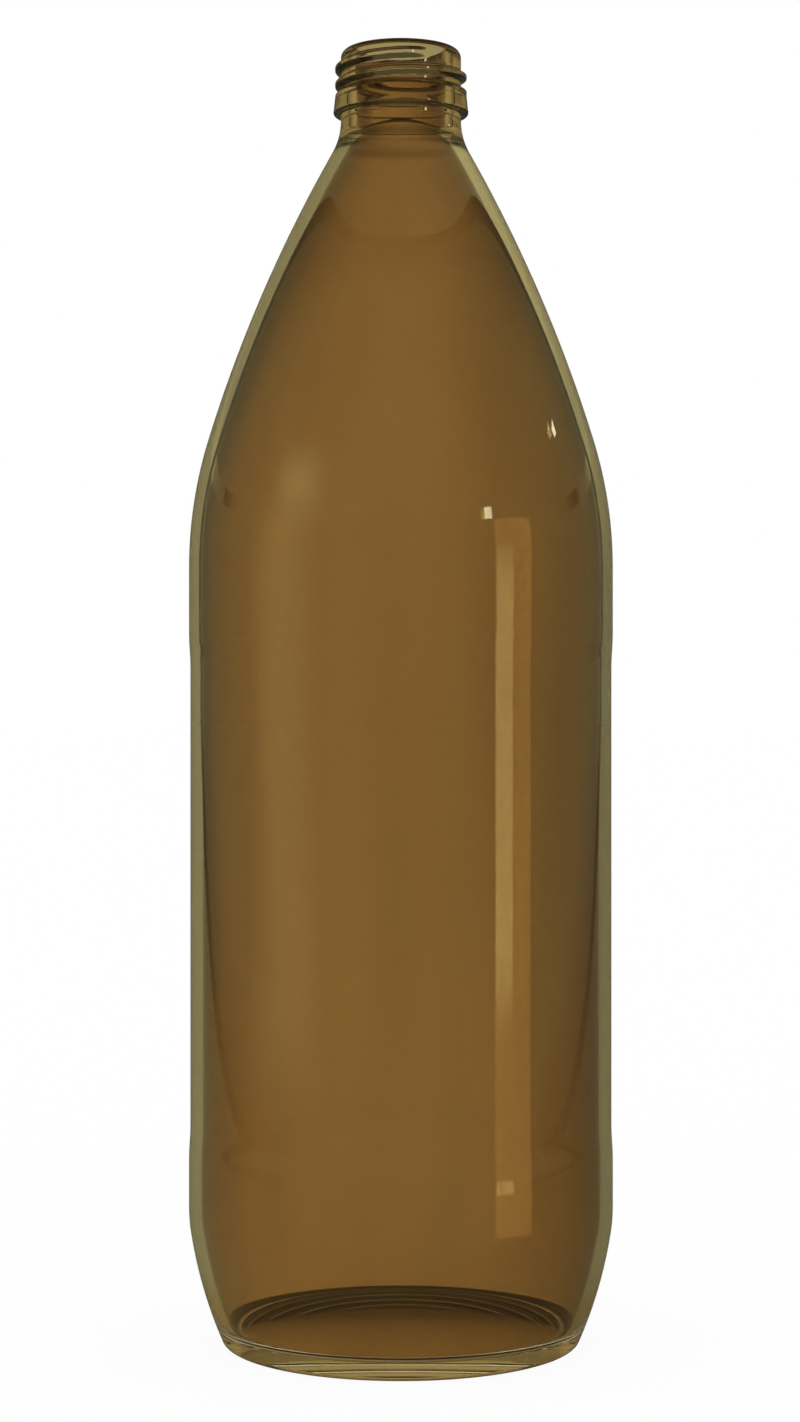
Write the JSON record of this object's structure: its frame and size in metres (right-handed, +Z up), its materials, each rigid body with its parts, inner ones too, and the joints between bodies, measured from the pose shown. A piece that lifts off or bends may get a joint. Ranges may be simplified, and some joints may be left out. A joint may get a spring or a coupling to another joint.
{
  "type": "beer bottle",
  "caption": "Empty brown glass beer bottle with a long sloping shoulder, a sunk label panel and a narrow neck finished with a collar and a rim for a screw cap.",
  "frame": {"origin": "centre of the bearing ring that the bottle stands on", "axes": "+Z up along the bottle's axis, from the base to the mouth"},
  "size_m": [0.0914, 0.0914, 0.2792],
  "materials": {
    "glass": "smooth brown glass, glossy inside and out"
  },
  "bodies": {
    "root": {"bottle": "glass"}
  },
  "joints": []
}
